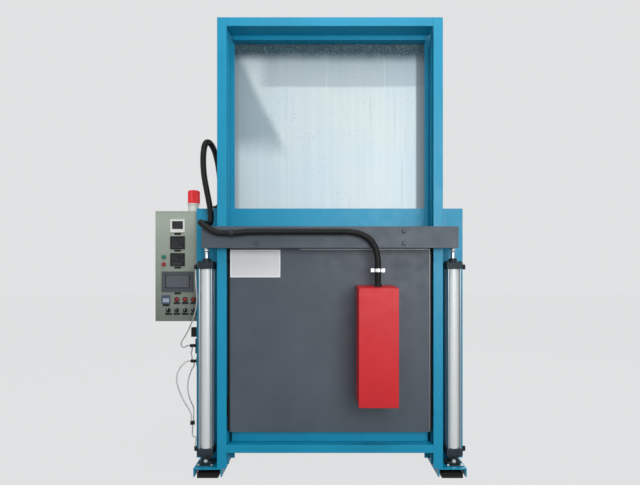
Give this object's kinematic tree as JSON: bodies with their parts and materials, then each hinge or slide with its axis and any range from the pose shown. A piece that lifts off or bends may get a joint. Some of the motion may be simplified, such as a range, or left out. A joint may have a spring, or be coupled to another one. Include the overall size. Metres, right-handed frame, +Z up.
{
  "type": "chamber furnace",
  "caption": "Front-loading electric chamber furnace with an insulated door that lifts in a blue gantry on pneumatic cylinders, and a control box with beacon on its side.",
  "frame": {"origin": "centre of the footprint of the whole furnace, on the floor under its pads", "axes": "+Z up, -Y towards the person in front of the door, +X to that person's right"},
  "size_m": [2.064, 1.807, 2.906],
  "materials": {
    "blue_paint": "satin enamel, bright blue",
    "door_paint": "satin enamel, dark grey",
    "red_paint": "satin enamel, red",
    "box_paint": "fine textured enamel, grey-green",
    "dark_metal": "dark oxide",
    "bright_steel": "ground and zinc plated",
    "barrel": "drawn, satin",
    "sheet": "galvanised sheet",
    "lining": "ceramic fibre board",
    "hearth": "fired refractory plate",
    "heater": "grooved ceramic with wire",
    "ring": "heat-dulled steel",
    "rubber": "matt",
    "hose": "ribbed",
    "air_hose": "smooth",
    "black_plastic": "moulded",
    "light_plastic": "moulded",
    "screen_plastic": "moulded",
    "meter_plastic": "moulded",
    "red_lens": "translucent",
    "green_cap": "moulded",
    "red_cap": "moulded",
    "plate_white": "bare white plate"
  },
  "bodies": {
    "frame": {"foot_left": "blue_paint", "foot_right": "blue_paint", "foot_pads": "rubber", "base_frame": "blue_paint", "casing_sides": "blue_paint", "casing_roof": "blue_paint", "casing_rear": "blue_paint", "front_plate": "blue_paint", "lining_walls": "lining", "lining_roof": "lining", "lining_floor": "lining", "hearth_plate": "hearth", "side_heaters": "heater", "mouth_ring": "ring", "post_left": "blue_paint", "post_right": "blue_paint", "top_beam": "blue_paint", "sill_beam": "blue_paint", "door_rest": "blue_paint", "guide_rails": "blue_paint", "back_sheet": "sheet", "cylinder_tubes": "barrel", "cylinder_heads": "dark_metal", "cylinder_ends": "dark_metal", "tie_rods": "bright_steel", "cylinder_brackets": "dark_metal", "bracket_fasteners": "bright_steel", "air_fittings": "black_plastic", "control_box": "box_paint", "control_panel": "box_paint", "recorder": "light_plastic", "controllers": "black_plastic", "operator_screen": "screen_plastic", "meter": "meter_plastic", "panel_lamps": "red_lens", "label_plates": "black_plastic", "panel_bezels": "black_plastic", "beacon_base": "light_plastic", "beacon_lens": "red_lens", "air_valves": "black_plastic", "air_tubes": "air_hose", "roof_gland": "black_plastic", "conduit_loop": "hose"},
    "door": {"door_shell": "door_paint", "door_lining": "lining", "door_heater": "heater", "crossbar": "door_paint", "crossbar_fasteners": "bright_steel", "terminal_cover": "red_paint", "nameplate": "plate_white", "door_conduit": "hose", "conduit_clamps": "bright_steel", "piston_rods": "bright_steel", "guide_shoes": "dark_metal"},
    "start_button": {"start_button": "green_cap"},
    "stop_button": {"stop_button": "red_cap"},
    "switch_1": {"switch_1": "black_plastic"},
    "switch_2": {"switch_2": "black_plastic"},
    "switch_3": {"switch_3": "black_plastic"},
    "switch_4": {"switch_4": "black_plastic"}
  },
  "joints": [
    {"name": "door_lift", "type": "slide", "parent": "frame", "child": "door", "axis": [0, 0, 1], "range_m": [0, 1.07], "deforming": ["conduit_loop"]},
    {"name": "start_press", "type": "slide", "parent": "frame", "child": "start_button", "axis": [0, 1, 0], "range_m": [0, 0.005], "stiffness_N_per_m": 600, "springref_m": -0.002},
    {"name": "stop_press", "type": "slide", "parent": "frame", "child": "stop_button", "axis": [0, 1, 0], "range_m": [0, 0.005], "stiffness_N_per_m": 600, "springref_m": -0.002},
    {"name": "switch_1_turn", "type": "hinge", "parent": "frame", "child": "switch_1", "pos_m": [-0.944, -0.4645, 1.043], "axis": [0, -1, 0], "range_deg": [-45, 45]},
    {"name": "switch_2_turn", "type": "hinge", "parent": "frame", "child": "switch_2", "pos_m": [-0.8875, -0.4645, 1.043], "axis": [0, -1, 0], "range_deg": [-45, 45]},
    {"name": "switch_3_turn", "type": "hinge", "parent": "frame", "child": "switch_3", "pos_m": [-0.831, -0.4645, 1.043], "axis": [0, -1, 0], "range_deg": [-45, 45]},
    {"name": "switch_4_turn", "type": "hinge", "parent": "frame", "child": "switch_4", "pos_m": [-0.7745, -0.4645, 1.043], "axis": [0, -1, 0], "range_deg": [-45, 45]}
  ]
}
